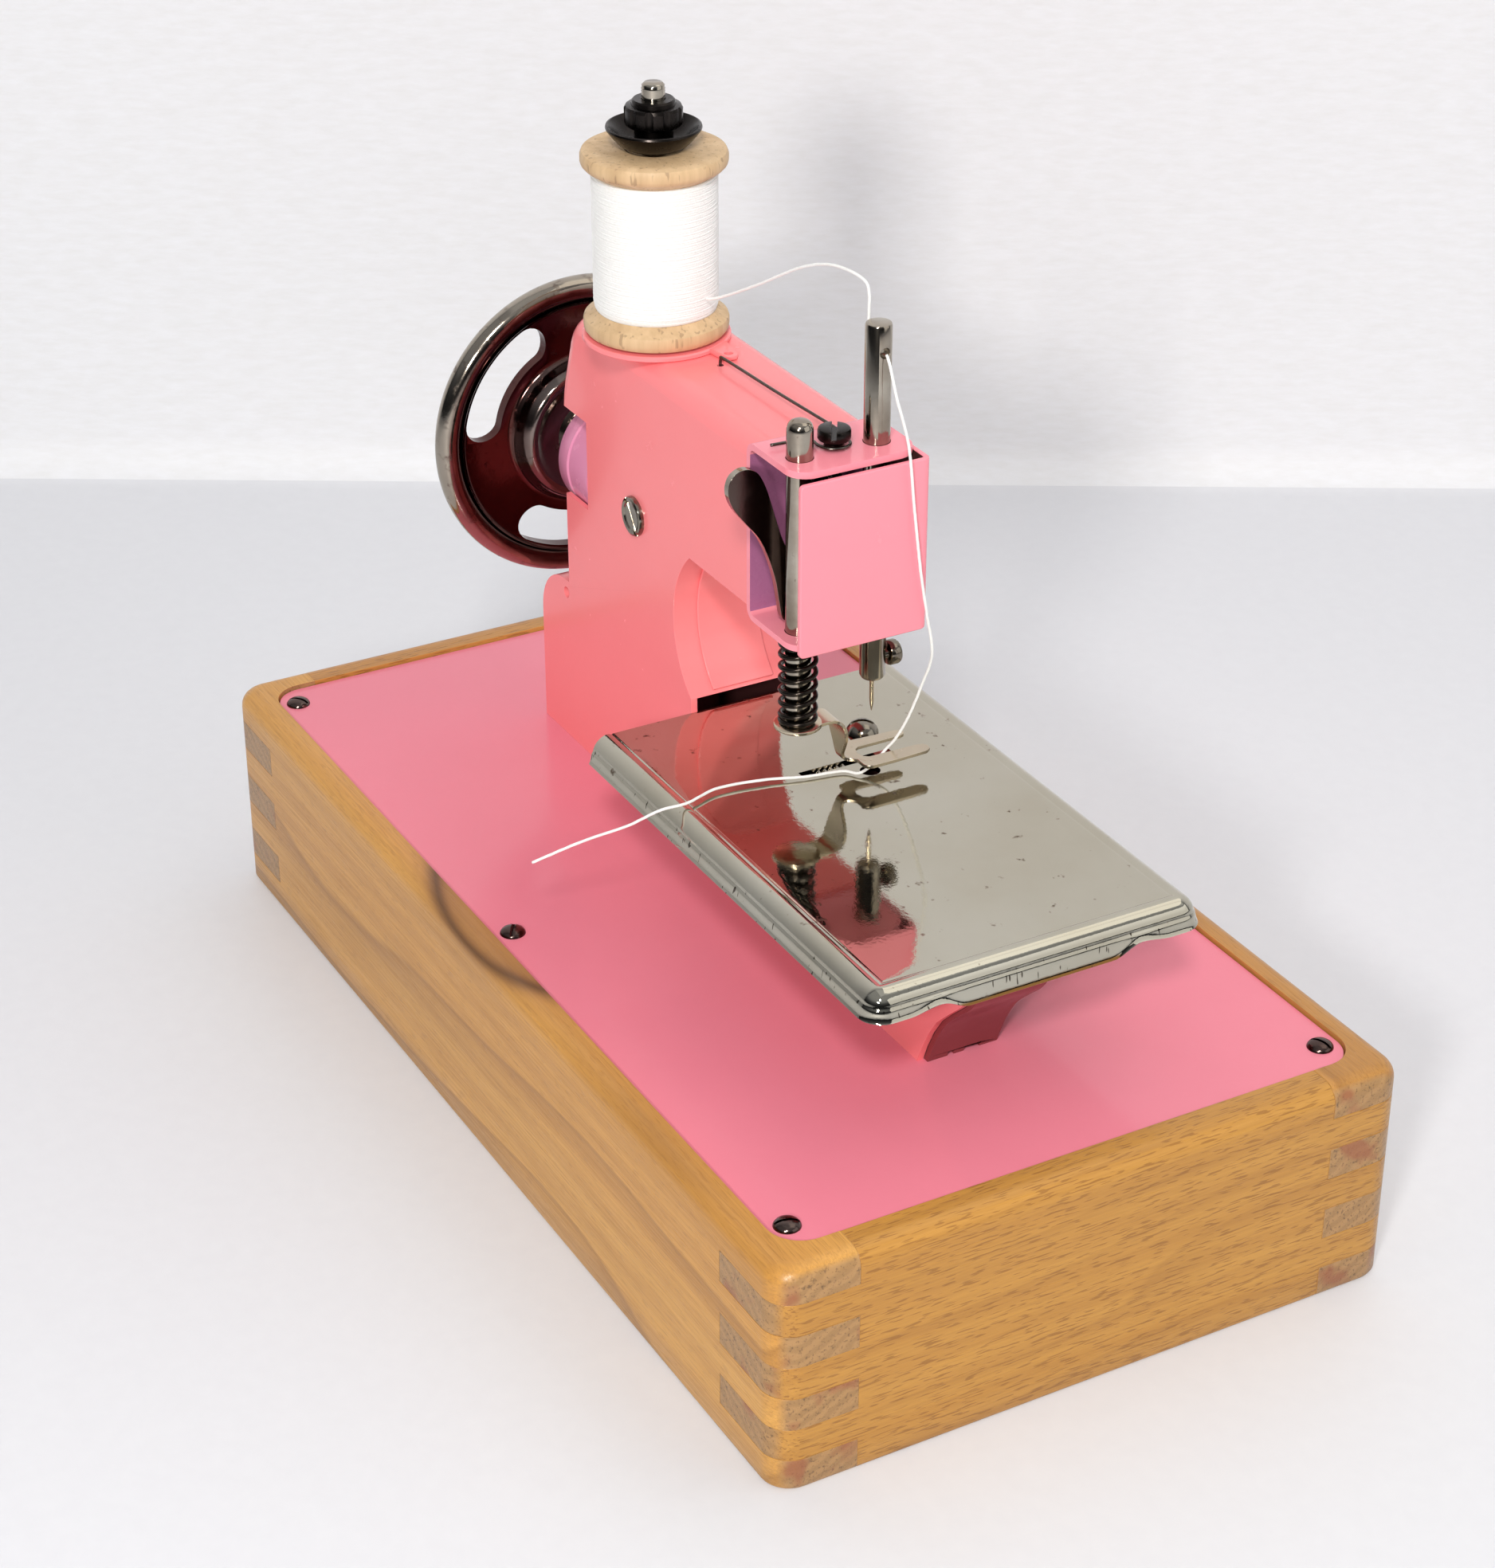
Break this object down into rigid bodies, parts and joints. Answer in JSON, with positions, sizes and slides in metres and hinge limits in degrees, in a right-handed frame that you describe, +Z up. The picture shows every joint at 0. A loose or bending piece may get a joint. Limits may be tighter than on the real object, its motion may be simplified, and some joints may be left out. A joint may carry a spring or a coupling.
{
  "type": "toy hand-crank sewing machine",
  "caption": "Small pink enamelled hand-wheel chain stitch machine with a nickelled work table, a vertical thread spool and a finger-jointed wooden box base.",
  "frame": {"origin": "centre of the underside of the wooden box, on the standing surface", "axes": "+Z up; X runs along the arm, needle end at -X and hand wheel at +X; the operator sits at -Y"},
  "size_m": [0.221, 0.12, 0.178],
  "materials": {
    "wood": "satin",
    "pink_enamel": "gloss",
    "dark_nickel": "gloss",
    "steel": "gloss",
    "bright_nickel": "gloss",
    "black_steel": "satin",
    "spool_wood": "matte",
    "white_thread": "matte"
  },
  "bodies": {
    "machine": {"board_back": "wood", "board_front": "wood", "board_left": "wood", "board_right": "wood", "base_plate": "pink_enamel", "plate_screws": "dark_nickel", "body_shell": "pink_enamel", "throat_strip": "pink_enamel", "bearing_cup": "pink_enamel", "pivot_stud": "steel", "cross_brace": "pink_enamel", "shaft_brackets": "pink_enamel", "table_plate": "bright_nickel", "table_screw": "bright_nickel", "head_bracket": "pink_enamel", "face_cover": "pink_enamel", "guide_screw": "black_steel", "guide_wire": "black_steel", "spool_seat": "pink_enamel", "spool_pin": "steel", "thread_upper": "white_thread", "thread_lower": "white_thread"},
    "wheel": {"hand_wheel": "dark_nickel", "wheel_screw": "dark_nickel", "wheel_shaft": "steel", "crank_disc": "steel"},
    "lever": {"needle_lever": "steel"},
    "needle_unit": {"needle_bar": "steel", "needle": "steel", "bar_collar": "steel", "clamp_screw": "dark_nickel"},
    "presser": {"presser_bar": "steel", "lifter_pin": "dark_nickel", "presser_spring": "black_steel", "presser_foot": "steel"},
    "lifter": {"lifter_lever": "dark_nickel"},
    "spool": {"thread_spool": "spool_wood", "thread_winding": "white_thread", "tension_cup": "black_steel"},
    "nut": {"tension_nut": "black_steel"},
    "feed": {"feed_shaft": "steel", "feed_dog": "steel", "looper": "steel"}
  },
  "joints": [
    {"name": "wheel_spin", "type": "hinge", "parent": "machine", "child": "wheel", "pos_m": [0.0756, -0.001, 0.0994], "axis": [1, 0, 0], "continuous": true},
    {"name": "lever_swing", "type": "hinge", "parent": "machine", "child": "lever", "pos_m": [0.031, -0.0014, 0.1006], "axis": [0, 1, 0], "range_deg": [-13, 2]},
    {"name": "needle_slide", "type": "slide", "parent": "machine", "child": "needle_unit", "axis": [0, 0, 1], "range_m": [-0.0134, 0.0019]},
    {"name": "presser_slide", "type": "slide", "parent": "machine", "child": "presser", "axis": [0, 0, 1], "range_m": [-0.0027, 0], "deforming": ["presser_spring"]},
    {"name": "lifter_swing", "type": "hinge", "parent": "presser", "child": "lifter", "pos_m": [-0.0222, 0.0083, 0.1109], "axis": [1, 0, 0], "range_deg": [-81, 1]},
    {"name": "spool_spin", "type": "hinge", "parent": "machine", "child": "spool", "pos_m": [0.0361, 0.0024, 0.15], "axis": [0, 0, 1], "continuous": true},
    {"name": "nut_turn", "type": "hinge", "parent": "machine", "child": "nut", "pos_m": [0.0361, 0.0024, 0.1713], "axis": [0, 0, 1], "continuous": true},
    {"name": "feed_rock", "type": "hinge", "parent": "machine", "child": "feed", "pos_m": [-0.005, -0.001, 0.054], "axis": [1, 0, 0], "range_deg": [-8, 8]}
  ],
  "couplings": [
    {"joint": "lever_swing", "follows": "needle_slide", "rad_per_m": 16.8},
    {"joint": "lifter_swing", "follows": "presser_slide", "rad_per_m": 517}
  ]
}
